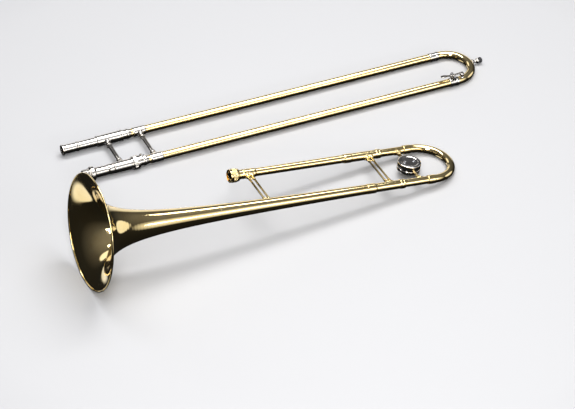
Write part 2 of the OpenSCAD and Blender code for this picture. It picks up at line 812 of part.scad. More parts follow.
end_tip();
water_key_nipple();
water_key_saddle();
water_key_screw();
water_key_spring();
water_key_lever();
water_key_cork();
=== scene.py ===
"""Looks of the trombone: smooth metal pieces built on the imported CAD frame, a pale floor and studio light."""

import json
import math

import bmesh
import bpy
from mathutils import Matrix, Vector


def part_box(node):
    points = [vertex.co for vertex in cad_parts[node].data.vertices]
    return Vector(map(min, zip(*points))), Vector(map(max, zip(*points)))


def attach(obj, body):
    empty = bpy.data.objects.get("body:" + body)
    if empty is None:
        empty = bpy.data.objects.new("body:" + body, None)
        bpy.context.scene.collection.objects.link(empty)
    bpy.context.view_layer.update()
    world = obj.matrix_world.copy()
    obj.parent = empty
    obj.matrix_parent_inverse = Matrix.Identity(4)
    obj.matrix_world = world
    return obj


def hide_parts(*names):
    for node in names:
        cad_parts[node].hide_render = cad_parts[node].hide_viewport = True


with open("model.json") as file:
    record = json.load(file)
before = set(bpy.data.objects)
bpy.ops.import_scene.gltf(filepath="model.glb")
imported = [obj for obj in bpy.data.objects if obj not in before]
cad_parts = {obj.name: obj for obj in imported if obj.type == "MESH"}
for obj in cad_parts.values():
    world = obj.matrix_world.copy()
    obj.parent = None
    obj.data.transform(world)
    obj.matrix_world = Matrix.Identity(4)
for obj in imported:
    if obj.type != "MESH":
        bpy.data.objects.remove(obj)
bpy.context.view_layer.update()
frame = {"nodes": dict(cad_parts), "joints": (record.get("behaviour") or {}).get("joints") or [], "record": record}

MM = 0.001
TURN = 2 * math.pi
JOINTS = {j["name"]: j for j in frame["joints"]}
MOUNTS = {m["name"]: m for m in frame["record"]["mounts"]}


# ---------- places, all read from the frame ----------
def axes(origin, x, y):
    """A matrix whose X runs along x, with y in its XY plane."""
    x = Vector(x).normalized()
    y = (Vector(y) - x * x.dot(Vector(y))).normalized()
    z = x.cross(y)
    rows = [(x[i], y[i], z[i], origin[i]) for i in range(3)]
    return Matrix([*rows, (0, 0, 0, 1)])


def shifted(base, x=0.0, y=0.0, z=0.0):
    return base @ Matrix.Translation((x, y, z))


def across(base, x, y=0.0, z=0.0):
    """A frame at (x, y, z) of base whose X runs along base's Y."""
    turn = Matrix(((0, 0, 1, 0), (1, 0, 0, 0), (0, 1, 0, 0), (0, 0, 0, 1)))
    return shifted(base, x, y, z) @ turn


def upright(base, x, y=0.0, z=0.0):
    """A frame at (x, y, z) of base whose X runs along base's Z."""
    turn = Matrix(((0, 1, 0, 0), (0, 0, 1, 0), (1, 0, 0, 0), (0, 0, 0, 1)))
    return shifted(base, x, y, z) @ turn


def turned_about_x(base, angle):
    return base @ Matrix.Rotation(angle, 4, "X")


def span(node, axis):
    """Lowest and highest corner of a CAD node, measured along a frame's axes."""
    inv = axis.inverted()
    pts = [inv @ v.co for v in frame["nodes"][node].data.vertices]
    lo = Vector([min(p[i] for p in pts) for i in range(3)])
    hi = Vector([max(p[i] for p in pts) for i in range(3)])
    return lo, hi


def middle(node, axis):
    lo, hi = span(node, axis)
    return (lo + hi) / 2


rim_lo, rim_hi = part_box("bell_rim")
BELL = axes((rim_lo + rim_hi) / 2, JOINTS["tuning_slide"]["axis"], (0, 1, 0))
neck_point = BELL.inverted() @ Vector(JOINTS["lock_nut"]["pos_m"])
BELL = axes(BELL.translation, JOINTS["tuning_slide"]["axis"],
            BELL.to_3x3() @ Vector((0, neck_point.y, neck_point.z)))
neck_y = math.hypot(neck_point.y, neck_point.z)
NECK = shifted(BELL, y=neck_y)

mouth = Vector(MOUNTS["mouthpiece_receiver"]["pos_m"])
socket = Vector(MOUNTS["slide_receiver"]["pos_m"])
UPPER = axes(mouth, JOINTS["hand_slide"]["axis"], (0, 1, 0))
LOWER = axes(socket, JOINTS["hand_slide"]["axis"], (0, 1, 0))
slide_pitch = (mouth - socket).y
SLIDE = shifted(LOWER, y=slide_pitch / 2)


# ---------- outlines ----------
def corners(node, axis):
    """Corners (x, r) of a turned CAD node's half section, in order round it."""
    inv = axis.inverted()
    mesh = frame["nodes"][node].data
    found, index = [], []
    for v in mesh.vertices:
        p = inv @ v.co
        q = Vector((p.x, math.hypot(p.y, p.z)))
        for k, c in enumerate(found):
            if (c - q).length < 0.00003:
                index.append(k)
                break
        else:
            index.append(len(found))
            found.append(q)
    links = [set() for _ in found]
    for e in mesh.edges:
        a, b = index[e.vertices[0]], index[e.vertices[1]]
        if a != b:
            links[a].add(b)
            links[b].add(a)
    start = max(range(len(found)), key=lambda k: (found[k].y, -found[k].x))
    loop, here, came = [start], min(links[start], key=lambda k: found[k].x), start
    while here != start and len(loop) <= len(found):
        loop.append(here)
        ahead = [k for k in links[here] if k != came and (k not in loop or k == start)]
        if not ahead:
            break
        came, here = here, ahead[0] if len(ahead) == 1 else min(
            ahead, key=lambda k: (found[k] - found[here]).length)
    return [found[k] for k in loop]


def eased(loop, round_off=0.3 * MM, sharp=math.radians(22)):
    """The same outline with rounded corners, and with curves through evenly spaced shallow ones."""
    n = len(loop)
    steps = [loop[(i + 1) % n] - loop[i] for i in range(n)]
    ways = [s.normalized() for s in steps]
    turns = [ways[i - 1].angle(ways[i], 0) for i in range(n)]
    tangents = []
    for i in range(n):
        a, b = steps[i - 1].length, steps[i].length
        tangents.append((ways[i - 1] * b + ways[i] * a).normalized())
        if max(a, b) > 2.5 * min(a, b):
            turns[i] = math.pi
    out = []
    for i in range(n):
        p, j = loop[i], (i + 1) % n
        if turns[i] > sharp:
            cut = min(round_off * 2 if turns[i] == math.pi else round_off, 0.4 * steps[i - 1].length,
                      0.4 * steps[i].length)
            a, b = p - ways[i - 1] * cut, p + ways[i] * cut
            if steps[i - 1].length > 4 * cut:
                out.append(a - ways[i - 1] * cut)
            for t in (0, 0.25, 0.5, 0.75, 1):
                out.append(a * (1 - t) ** 2 + p * 2 * t * (1 - t) + b * t * t)
            if steps[i].length > 4 * cut:
                out.append(b + ways[i] * cut)
        else:
            out.append(p)
        if turns[i] <= sharp and turns[j] <= sharp:
            length = steps[i].length
            for t in (1 / 3, 2 / 3):
                h = (2 * t**3 - 3 * t**2 + 1, t**3 - 2 * t**2 + t, -2 * t**3 + 3 * t**2, t**3 - t**2)
                out.append(p * h[0] + tangents[i] * h[1] * length + loop[j] * h[2]
                           + tangents[j] * h[3] * length)
    return out


# ---------- mesh building ----------
def finish_mesh(name, bm, sharp_deg=None):
    bmesh.ops.remove_doubles(bm, verts=bm.verts, dist=1e-6)
    bmesh.ops.dissolve_degenerate(bm, edges=bm.edges, dist=1e-7)
    bmesh.ops.recalc_face_normals(bm, faces=bm.faces)
    mesh = bpy.data.meshes.new(name)
    bm.to_mesh(mesh)
    bm.free()
    mesh.shade_smooth()
    if sharp_deg:
        mesh.set_sharp_from_angle(angle=math.radians(sharp_deg))
    obj = bpy.data.objects.new(name, mesh)
    bpy.context.scene.collection.objects.link(obj)
    return obj


def add_grid(bm, grid, wrap_rows=True, wrap_cols=True):
    rows, cols = len(grid), len(grid[0])
    verts = [[bm.verts.new(p) for p in row] for row in grid]
    for i in range(rows if wrap_rows else rows - 1):
        for j in range(cols if wrap_cols else cols - 1):
            k, m = (i + 1) % rows, (j + 1) % cols
            bm.faces.new((verts[i][j], verts[k][j], verts[k][m], verts[i][m]))


def turned_into(bm, outline, axis, around=96, shape=None, mould=None, closed=True):
    """Turns (x, r) points about a frame's X; shape changes the radius and mould moves a point."""
    grid = []
    for i in range(around):
        a = TURN * i / around
        c, s = math.cos(a), math.sin(a)
        row = []
        for x, r in outline:
            rr = shape(x, r, a) if shape else r
            p = Vector((x, rr * c, rr * s))
            row.append(axis @ (mould(p) if mould else p))
        grid.append(row)
    add_grid(bm, grid, wrap_cols=closed)


def turned(name, outline, axis, around=96, **words):
    bm = bmesh.new()
    turned_into(bm, outline, axis, around, **words)
    return finish_mesh(name, bm)


def solid(points, round_off=0.3 * MM):
    """An open outline (x, r) from axis to axis, with its corners rounded."""
    loop = [Vector(p) for p in points]
    out = [loop[0]]
    for before, p, after in zip(loop, loop[1:], loop[2:]):
        back, ahead = before - p, after - p
        cut = min(round_off, 0.45 * back.length, 0.45 * ahead.length)
        a, b = p + back.normalized() * cut, p + ahead.normalized() * cut
        out += [a * (1 - t) ** 2 + p * 2 * t * (1 - t) + b * t * t for t in (0, 0.25, 0.5, 0.75, 1)]
    return [*out, loop[-1]]


def returned(name, node, axis, around=96, round_off=0.3 * MM):
    """A turned CAD node built again, dense and with rounded edges, from its own outline."""
    return turned(name, eased(corners(node, axis), round_off), axis, around)


def swept_into(bm, path, radius, around=24):
    """A round bar along a path of points, closed at both ends."""
    grid = []
    side = None
    n = len(path)
    for i, p in enumerate(path):
        way = (path[min(i + 1, n - 1)] - path[max(i - 1, 0)]).normalized()
        if side is None:
            side = way.orthogonal().normalized()
        side = (side - way * side.dot(way)).normalized()
        up = way.cross(side)
        grid.append([p + side * radius * math.cos(TURN * k / around)
                     + up * radius * math.sin(TURN * k / around) for k in range(around)])
    grid.insert(0, [path[0]] * around)
    grid.append([path[-1]] * around)
    add_grid(bm, grid, wrap_rows=False)


def swept(name, path, radius, around=24):
    bm = bmesh.new()
    swept_into(bm, path, radius, around)
    return finish_mesh(name, bm, 50)


def u_path(x0, x1, half, steps=96):
    """Out along X, round a half turn and back, as (point, direction) pairs in a frame's XY plane."""
    path = [(Vector((x0, -half, 0)), Vector((1, 0, 0)))]
    for k in range(steps + 1):
        t = math.pi * k / steps
        path.append((Vector((x1 + half * math.sin(t), -half * math.cos(t), 0)),
                     Vector((math.cos(t), math.sin(t), 0))))
    return [*path, (Vector((x0, half, 0)), Vector((-1, 0, 0)))]


def piped(name, path, axis, r, bore, around=64):
    """A tube along a path in a frame's XY plane, with its bore and its end faces."""
    bm = bmesh.new()
    up = Vector((0, 0, 1))
    grid = []
    for radius, stations in ((r, path), (bore, path[::-1])):
        for point, way in stations:
            side = up.cross(way)
            grid.append([axis @ (point + side * radius * math.cos(TURN * k / around)
                                 + up * radius * math.sin(TURN * k / around)) for k in range(around)])
    add_grid(bm, grid)
    return finish_mesh(name, bm, 50)


def strap_into(bm, axis, stations, around=28, power=4.0):
    """A bar with a rounded oblong section; each station is (x, y, z, half width, half thickness)."""
    grid = []
    n = len(stations)
    for i, (x, y, z, half_width, half_thick) in enumerate(stations):
        before, after = stations[max(i - 1, 0)], stations[min(i + 1, n - 1)]
        way = Vector((after[0] - before[0], 0, after[2] - before[2])).normalized()
        normal = Vector((-way.z, 0, way.x))
        ring = []
        for k in range(around):
            c, s = math.cos(TURN * k / around), math.sin(TURN * k / around)
            u = math.copysign(abs(c) ** (2 / power), c) * half_width
            v = math.copysign(abs(s) ** (2 / power), s) * half_thick
            ring.append(axis @ (Vector((x, y + u, z)) + normal * v))
        grid.append(ring)
    for at, (x, y, z, _, _) in ((0, stations[0]), (len(grid) + 1, stations[-1])):
        grid.insert(at, [axis @ Vector((x, y, z))] * around)
    add_grid(bm, grid, wrap_rows=False)


def curve_through(points, steps=8):
    """Smooth stations through a few given ones."""
    rows = [Vector(p) for p in points]
    out = []
    for i in range(len(rows) - 1):
        a, b, c, d = rows[max(i - 1, 0)], rows[i], rows[i + 1], rows[min(i + 2, len(rows) - 1)]
        for k in range(steps):
            t = k / steps
            out.append(0.5 * (b * 2 + (c - a) * t + (a * 2 - b * 5 + c * 4 - d) * t**2
                              + (b * 3 - a - c * 3 + d) * t**3))
    return [*out, rows[-1]]


def box_into(bm, axis, lo, hi, round_off):
    """A block with rounded edges."""
    made = bmesh.ops.create_cube(bm, size=1)["verts"]
    size = [b - a for a, b in zip(lo, hi)]
    for v in made:
        v.co = Vector([a + (c + 0.5) * s for a, c, s in zip(lo, v.co, size)])
    edges = list({e for v in made for e in v.link_edges})
    got = bmesh.ops.bevel(bm, geom=edges, offset=round_off, segments=3, profile=0.5, affect="EDGES")
    for v in {v for f in got["faces"] for v in f.verts} | {v for v in made if v.is_valid}:
        v.co = axis @ v.co


def cutter(build):
    """A solid that build(bm) fills, for cutting or joining with a boolean."""
    bm = bmesh.new()
    build(bm)
    return finish_mesh("cutter", bm)


def combined(obj, tools, operation="DIFFERENCE", sharp_deg=35):
    """The object with its tools cut away or joined on, as one plain mesh."""
    for tool in tools:
        step = obj.modifiers.new("step", "BOOLEAN")
        step.operation = operation
        step.solver = "EXACT"
        step.object = tool
    bpy.context.view_layer.update()
    depsgraph = bpy.context.evaluated_depsgraph_get()
    mesh = bpy.data.meshes.new_from_object(obj.evaluated_get(depsgraph))
    obj.modifiers.clear()
    obj.data = mesh
    mesh.shade_smooth()
    mesh.set_sharp_from_angle(angle=math.radians(sharp_deg))
    for tool in tools:
        bpy.data.objects.remove(tool)
    return obj


def smoothstep(lo, hi, v):
    t = max(0.0, min(1.0, (v - lo) / (hi - lo)))
    return t * t * (3 - 2 * t)


def saddle_into(bm, axis, x, r, side, half_len, half_width, pad, bosses=(), point=1.0):
    """A pad wrapped on a tube, facing +Y or -Y, with a flared boss at each (offset, height, radius)."""
    around, rings = 72, 22
    grid = []
    for i in range(around):
        a = TURN * i / around
        c, s = math.cos(a), math.sin(a)
        row = []
        for k in range(rings + 1):
            f = k / rings
            reach = f * (1 - (1 - point) * abs(s))
            u = half_len * c * reach
            w = half_width * s * f
            lift = pad * (1 - smoothstep(0.86, 1.0, f) * 0.8)
            for offset, height, boss in bosses:
                d = math.hypot(u - offset, w)
                lift = max(lift, pad + (height - pad) * (1 - smoothstep(boss, boss + 2.6 * MM, d)))
            row.append((u, w, r + lift))
        row.append((half_len * c * (1 - (1 - point) * abs(s)), half_width * s, r - 0.15 * MM))
        row.append((0, 0, r - 0.15 * MM))
        points = []
        for u, w, h in row:
            t = w / r
            points.append(axis @ Vector((x + u, side * h * math.cos(t), h * math.sin(t))))
        grid.append(points)
    add_grid(bm, grid, wrap_cols=False)


def saddle(name, *args, **words):
    bm = bmesh.new()
    saddle_into(bm, *args, **words)
    return finish_mesh(name, bm)


# ---------- materials ----------
def nodes_of(name):
    mat = bpy.data.materials.new(name)
    mat.use_nodes = True
    tree = mat.node_tree
    tree.nodes.clear()
    out = tree.nodes.new("ShaderNodeOutputMaterial")
    shader = tree.nodes.new("ShaderNodeBsdfPrincipled")
    tree.links.new(shader.outputs[0], out.inputs[0])
    return mat, tree, shader


def noise(tree, scale, detail=3.0, stretch=(1, 1, 1), rough=0.5):
    coords = tree.nodes.new("ShaderNodeTexCoord")
    mapping = tree.nodes.new("ShaderNodeMapping")
    mapping.inputs["Scale"].default_value = stretch
    tex = tree.nodes.new("ShaderNodeTexNoise")
    tex.inputs["Scale"].default_value = scale
    tex.inputs["Detail"].default_value = detail
    tex.inputs["Roughness"].default_value = rough
    tree.links.new(coords.outputs["Object"], mapping.inputs[0])
    tree.links.new(mapping.outputs[0], tex.inputs["Vector"])
    return tex.outputs["Fac"]


def ramp(tree, fac, stops):
    node = tree.nodes.new("ShaderNodeValToRGB")
    while len(node.color_ramp.elements) < len(stops):
        node.color_ramp.elements.new(0.5)
    for element, (at, colour) in zip(node.color_ramp.elements, stops):
        element.position = at
        element.color = (*colour, 1)
    tree.links.new(fac, node.inputs[0])
    return node.outputs[0]


def levels(tree, fac, lo, hi, out_lo, out_hi):
    node = tree.nodes.new("ShaderNodeMapRange")
    for key, value in (("From Min", lo), ("From Max", hi), ("To Min", out_lo), ("To Max", out_hi)):
        node.inputs[key].default_value = value
    tree.links.new(fac, node.inputs["Value"])
    return node.outputs[0]


def bump(tree, shader, height, distance, strength=1.0, under=None):
    node = tree.nodes.new("ShaderNodeBump")
    node.inputs["Strength"].default_value = strength
    node.inputs["Distance"].default_value = distance
    tree.links.new(height, node.inputs["Height"])
    if under:
        tree.links.new(under, node.inputs["Normal"])
    tree.links.new(node.outputs[0], shader.inputs["Normal"])
    return node.outputs[0]


def metal(name, tones, rough, coat=0.0, grain=0.0, stretch=(60, 900, 900)):
    """Polished metal: cloudy tone, smudged gloss, fine polishing lines and a slight waviness."""
    mat, tree, shader = nodes_of(name)
    shader.inputs["Metallic"].default_value = 1.0
    shader.inputs["Coat Weight"].default_value = coat
    shader.inputs["Coat Roughness"].default_value = 0.04
    cloud = noise(tree, 22, 4)
    tree.links.new(ramp(tree, cloud, [(0.3, tones[0]), (0.55, tones[1]), (0.8, tones[2])]),
                   shader.inputs["Base Color"])
    smudge = noise(tree, 48, 5, rough=0.6)
    tree.links.new(levels(tree, smudge, 0.35, 0.75, *rough), shader.inputs["Roughness"])
    lines = noise(tree, 1, 2, stretch)
    first = bump(tree, shader, lines, 0.00002, grain)
    bump(tree, shader, noise(tree, 30, 1), 0.0003, 0.07, first)
    return mat


GOLD_TONES = [(0.80, 0.60, 0.27), (0.87, 0.69, 0.34), (0.92, 0.76, 0.42)]
LACQUER = metal("gold_lacquer", GOLD_TONES, (0.05, 0.12), coat=0.3, grain=0.2)
SPUN = metal("gold_lacquer_spun", GOLD_TONES, (0.05, 0.12), coat=0.3, grain=0.2, stretch=(1500, 60, 60))
NICKEL = metal("nickel_silver", [(0.50, 0.47, 0.43), (0.60, 0.57, 0.53), (0.69, 0.66, 0.63)],
               (0.06, 0.16), grain=0.25)
STEEL = metal("bright_steel", [(0.45, 0.46, 0.48), (0.56, 0.57, 0.60), (0.66, 0.67, 0.70)],
              (0.14, 0.28), grain=0.5)
CHROME = metal("polished_weight", [(0.60, 0.57, 0.54), (0.72, 0.69, 0.66), (0.82, 0.80, 0.78)],
               (0.03, 0.09), grain=0.15)


def grainy(name, tones, scale, rough, depth):
    mat, tree, shader = nodes_of(name)
    cells = noise(tree, scale, 6, rough=0.7)
    tree.links.new(ramp(tree, cells, [(0.3, tones[0]), (0.5, tones[1]), (0.7, tones[2])]),
                   shader.inputs["Base Color"])
    tree.links.new(levels(tree, cells, 0.3, 0.7, *rough), shader.inputs["Roughness"])
    bump(tree, shader, cells, depth, 0.6)
    return mat


CORK = grainy("cork", [(0.22, 0.12, 0.06), (0.45, 0.29, 0.17), (0.58, 0.42, 0.27)],
              900, (0.75, 0.95), 0.0002)
RUBBER = grainy("black_rubber", [(0.012, 0.012, 0.014), (0.022, 0.022, 0.025), (0.04, 0.04, 0.042)],
                1400, (0.5, 0.75), 0.00006)


def dress(obj, material, body, *cad_nodes):
    """Gives a piece its material, its body and the CAD nodes it stands for."""
    obj.data.materials.clear()
    obj.data.materials.append(material)
    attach(obj, body)
    if cad_nodes:
        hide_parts(*cad_nodes)
    return obj


# ---------- bell ----------
dress(returned("bell_rim_wire", "bell_rim", BELL, 256), LACQUER, "bell_section", "bell_rim")
dress(returned("bell_flare_skin", "bell_flare", BELL, 256, 0.2 * MM), SPUN, "bell_section", "bell_flare")
dress(returned("bell_stem_tube", "bell_stem", BELL, 128, 0.1 * MM), LACQUER, "bell_section", "bell_stem")
for node, axis in (("bell_ferrule", BELL), ("bell_tuning_sleeve", BELL), ("neck_ferrule", NECK),
                   ("neck_tuning_sleeve", NECK), ("neckpipe", NECK)):
    dress(returned(node + "_turned", node, axis, 96), LACQUER, "bell_section", node)
dress(returned("neck_tenon_turned", "neck_tenon", NECK, 96), LACQUER, "bell_section", "neck_tenon")

# ---------- lock nut: knurled band ----------
nut_lo, nut_hi = span("bell_lock_nut", NECK)
NUT_FLUTES = 36


def knurl(x0, x1, least_r, count, depth):
    """Fluting that fades out at the band's edges and only touches the outside."""
    def shape(x, r, a):
        if r < least_r or x < x0 or x > x1:
            return r
        fade = smoothstep(x0, x0 + 0.8 * MM, x) * (1 - smoothstep(x1 - 0.8 * MM, x1, x))
        return r - depth * fade * (0.5 + 0.5 * math.cos(count * a)) ** 2
    return shape


def ring_outline(points, fine=0.4 * MM):
    """An outline with its long straight runs cut up, so that a band can be shaped."""
    out = []
    for i, p in enumerate(points):
        q = points[(i + 1) % len(points)]
        out.append(p)
        count = int((q - p).length / fine)
        out += [p.lerp(q, k / count) for k in range(1, count)]
    return out


def nut_outline():
    """Bore, plain bead, groove, knurled band and rounded back, between the CAD nut's ends."""
    x, top = nut_lo.x, nut_hi.z
    groove, bead, back = top - 0.9 * MM, top - 0.4 * MM, nut_hi.x
    bore, lip, step = top - 1.6 * MM, top - 3.6 * MM, back - 3.4 * MM
    return [Vector(p) for p in (
        (x, bore), (x, bead - 0.4 * MM), (x + 0.6 * MM, bead), (x + 2.0 * MM, bead),
        (x + 2.6 * MM, groove), (x + 3.6 * MM, groove), (x + 4.2 * MM, top), (x + 12.2 * MM, top),
        (x + 13.2 * MM, top - 0.6 * MM), (back - 1.2 * MM, top - 1.2 * MM), (back, top - 2.2 * MM),
        (back, lip), (step, lip), (step, bore))]


dress(turned("lock_nut_knurled", ring_outline(eased(nut_outline(), 0.35 * MM)), NECK, NUT_FLUTES * 10,
             shape=knurl(nut_lo.x + 4.4 * MM, nut_lo.x + 12.0 * MM, nut_hi.z - 0.2 * MM, NUT_FLUTES,
                         0.5 * MM)),
      LACQUER, "lock_nut", "bell_lock_nut")

# ---------- bell section braces: two rods between flared saddles ----------
ROD_R = 1.8 * MM


def rod_outline(y0, y1, collars):
    """A rod with a turned collar at each height in collars, from below y0 to above y1."""
    points = [(y0, 0), (y0, ROD_R)]
    for y in collars:
        points += [(y - 1.6 * MM, ROD_R), (y - 1.2 * MM, ROD_R + 0.7 * MM),
                   (y + 1.2 * MM, ROD_R + 0.7 * MM), (y + 1.6 * MM, ROD_R)]
    return solid([*points, (y1, ROD_R), (y1, 0)], 0.25 * MM)


def twin_rod_brace(name, node, foot_r, neck_r):
    """Two rods that stand on tubes of the given radii, tied near each end by a turned bar."""
    lo, hi = span(node, BELL)
    x = (lo.x + hi.x) / 2
    gap = hi.x - lo.x - 2 * (ROD_R + 0.7 * MM)
    y0, y1 = foot_r + 0.4 * MM, neck_y - neck_r - 0.4 * MM
    ties = (lo.y + 9 * MM if node == "rear_brace" else y0 + 8 * MM, hi.y - 9 * MM)
    bm = bmesh.new()
    for side in (-1, 1):
        turned_into(bm, rod_outline(y0, y1, ties), across(BELL, x + side * gap / 2), 40, closed=False)
    for y in ties:
        half = gap / 2 - 0.8 * MM
        bar = solid([(-half, 0), (-half, 1.5 * MM), (-half + 1.2 * MM, 1 * MM), (0, 1.3 * MM),
                     (half - 1.2 * MM, 1 * MM), (half, 1.5 * MM), (half, 0)], 0.2 * MM)
        turned_into(bm, bar, shifted(BELL, x, y), 32, closed=False)
    dress(finish_mesh(name, bm), LACQUER, "bell_section", node)
    return x, gap


def brace_foot(name, node, x, gap, r, side, base):
    bosses = [(s * gap / 2, 4.6 * MM, ROD_R + 0.5 * MM) for s in (-1, 1)]
    dress(saddle(name, base, x, r, side, 11 * MM, 7.5 * MM, 0.9 * MM, bosses, 0.82),
          LACQUER, "bell_section", node)


def radius_at(node, axis, x):
    """Outside radius at x of a turned node."""
    loop = corners(node, axis)
    best = 0.0
    for a, b in zip(loop, [*loop[1:], loop[0]]):
        lo, hi = sorted((a, b), key=lambda p: p.x)
        if lo.x <= x <= hi.x and hi.x - lo.x > 1e-7:
            best = max(best, lo.y + (hi.y - lo.y) * (x - lo.x) / (hi.x - lo.x))
    return best


front_x = middle("front_brace", BELL).x
bell_foot_r = radius_at("bell_stem", BELL, front_x)
tenon_sleeve_r = radius_at("neck_tenon", NECK, front_x)
sleeve_r = radius_at("bell_tuning_sleeve", BELL, middle("rear_brace", BELL).x)
front_x, rod_gap = twin_rod_brace("front_brace_rods", "front_brace", bell_foot_r, tenon_sleeve_r)
brace_foot("front_foot_bell", "front_flange_bell", front_x, rod_gap, bell_foot_r, 1, BELL)
brace_foot("front_foot_neck", "front_flange_neck", front_x, rod_gap, tenon_sleeve_r, -1, NECK)
rear_x, rod_gap = twin_rod_brace("rear_brace_rods", "rear_brace", sleeve_r, sleeve_r)
brace_foot("rear_foot_bell", "rear_flange_bell", rear_x, rod_gap, sleeve_r, 1, BELL)
brace_foot("rear_foot_neck", "rear_flange_neck", rear_x, rod_gap, sleeve_r, -1, NECK)

# ---------- tuning slide ----------
crook_lo, crook_hi = span("tuning_crook", BELL)
crook_r = crook_hi.z
bend_r = neck_y / 2
CROOK_WALL = 0.7 * MM
crook_mid = shifted(BELL, y=bend_r)
dress(piped("tuning_crook_bend", u_path(crook_lo.x, crook_hi.x - bend_r - crook_r, bend_r), crook_mid,
            crook_r, crook_r - CROOK_WALL), LACQUER, "tuning_slide", "tuning_crook")
for end, axis in (("neck", NECK), ("bell", BELL)):
    dress(returned("tuning_leg_%s_tube" % end, "tuning_leg_" + end, axis, 64), LACQUER,
          "tuning_slide", "tuning_leg_" + end)
    dress(returned("tuning_ferrule_%s_turned" % end, "tuning_ferrule_" + end, axis), LACQUER,
          "tuning_slide", "tuning_ferrule_" + end)

leg_r = span("tuning_leg_bell", BELL)[1].z
weight_lo, weight_hi = span("balance_weight_upper", BELL)
weight_x = (weight_lo.x + weight_hi.x) / 2
weight_r = (weight_hi.x - weight_lo.x) / 2
BALANCE_ROD_R = 2.6 * MM


def balance_bar():
    """A bar across the slide with a turned foot and a saddle on each leg."""
    bm = bmesh.new()
    y0, y1 = leg_r + 0.4 * MM, neck_y - leg_r - 0.4 * MM
    foot = 5.5 * MM
    r = BALANCE_ROD_R
    bar = solid([(y0, 0), (y0, r + 1.7 * MM), (y0 + foot - 1 * MM, r + 1.5 * MM), (y0 + foot, r),
                 (y1 - foot, r), (y1 - foot + 1 * MM, r + 1.5 * MM), (y1, r + 1.7 * MM), (y1, 0)], 0.5 * MM)
    turned_into(bm, bar, across(BELL, weight_x), 48, closed=False)
    boss = [(0, 1.6 * MM, r + 1.2 * MM)]
    saddle_into(bm, BELL, weight_x, leg_r, 1, 10 * MM, 7 * MM, 0.9 * MM, boss, 0.82)
    saddle_into(bm, NECK, weight_x, leg_r, -1, 10 * MM, 7 * MM, 0.9 * MM, boss, 0.82)
    return finish_mesh("balance_bar", bm)


dress(balance_bar(), LACQUER, "tuning_slide", "balance_brace")

WEIGHT = upright(BELL, weight_x, bend_r)
screw_lo, screw_hi = span("weight_screw_rear", BELL)
screw_offset = (screw_lo.x + screw_hi.x) / 2 - weight_x
head_top = screw_hi.z


def weight_half(name, node, way):
    """One turned half of the weight, grooved for the bar and bored for its screws."""
    lo, hi = span(node, BELL)
    inner, outer = (lo.z, hi.z) if way > 0 else (hi.z, lo.z)
    r = weight_r
    points = [(inner, 0), (inner, r - 1 * MM), (inner + way * 0.9 * MM, r),
              (outer - way * 1.7 * MM, r), (outer - way * 0.5 * MM, r - 0.5 * MM), (outer, r - 1.7 * MM),
              (outer, r - 5 * MM), (outer - way * 0.9 * MM, r - 6 * MM), (outer - way * 0.9 * MM, 0)]
    half = turned(name, solid(points, 0.6 * MM), WEIGHT, 160, closed=False)

    def holes(bm):
        turned_into(bm, [(-r * 2, 0), (-r * 2, BALANCE_ROD_R + 0.02 * MM),
                         (r * 2, BALANCE_ROD_R + 0.02 * MM), (r * 2, 0)],
                    across(BELL, weight_x, bend_r), 48, closed=False)
        for side in (-1, 1):
            foot, head, over = -head_top - 0.8 * MM, head_top - 2.6 * MM, head_top + 9 * MM
            well = [(foot, 0), (foot, 1.7 * MM), (head, 1.7 * MM), (head, 3.4 * MM), (over, 3.4 * MM),
                    (over, 0)]
            turned_into(bm, well, upright(BELL, weight_x + side * screw_offset, bend_r), 40, closed=False)
    return dress(combined(half, [cutter(holes)]), CHROME, "tuning_slide", node)


weight_half("weight_upper_turned", "balance_weight_upper", 1)
weight_half("weight_lower_turned", "balance_weight_lower", -1)


def slotted_screw(name, axis, foot, head, top, shank_r, head_r, slot, body, node):
    """A screw whose X runs from its foot to the top of its domed, slotted head."""
    points = [(foot, 0), (foot, shank_r - 0.4 * MM), (foot + 0.5 * MM, shank_r), (head, shank_r),
              (head, head_r), (top - 0.7 * MM, head_r), (top - 0.2 * MM, head_r - 0.8 * MM), (top, 0)]
    screw = turned(name, solid(points, 0.2 * MM), axis, 48, closed=False)
    depth = 0.9 * MM
    size = (top - depth, -2 * head_r, -slot / 2), (top + depth, 2 * head_r, slot / 2)
    slot_cutter = cutter(lambda bm: box_into(bm, axis, *size, 0.05 * MM))
    return dress(combined(screw, [slot_cutter]), STEEL, body, node)


for side, node in ((-1, "weight_screw_front"), (1, "weight_screw_rear")):
    slotted_screw(node + "_turned", upright(BELL, weight_x + side * screw_offset, bend_r), screw_lo.z,
                  head_top - 2.4 * MM, head_top, 1.5 * MM, 3.1 * MM, 0.8 * MM, "tuning_slide", node)

# ---------- inner slide ----------
dress(returned("mouthpiece_socket", "mouthpiece_receiver", UPPER), NICKEL, "inner_slide",
      "mouthpiece_receiver")


THREAD_CORE_R, THREAD_CREST_R, THREAD_PITCH = 9.7 * MM, 10.5 * MM, 1.8 * MM
THREAD_X0, THREAD_X1 = 1 * MM, 8 * MM


def plain_receiver():
    """The receiver's outline without the rings that stand in for its thread."""
    low, high = THREAD_CORE_R - 0.1 * MM, THREAD_CREST_R + 0.1 * MM
    return [p for p in corners("slide_receiver", LOWER)
            if not (THREAD_X0 < p.x < THREAD_X1 and high > p.y > low)]


def helix(x, r, a):
    """Radius of the threaded outside: a ridge that winds round the core and fades out at its ends."""
    if abs(r - THREAD_CORE_R) > 0.06 * MM or not THREAD_X0 < x < THREAD_X1:
        return r
    phase = (x / THREAD_PITCH - a / TURN) % 1
    fade = (smoothstep(THREAD_X0, THREAD_X0 + THREAD_PITCH, x)
            * (1 - smoothstep(THREAD_X1 - THREAD_PITCH, THREAD_X1, x)))
    return r + (THREAD_CREST_R - THREAD_CORE_R) * fade * (1 - abs(2 * phase - 1))


dress(turned("slide_socket_threaded", ring_outline(eased(plain_receiver()), 0.2 * MM), LOWER, 120,
             shape=helix), NICKEL, "inner_slide", "slide_receiver")

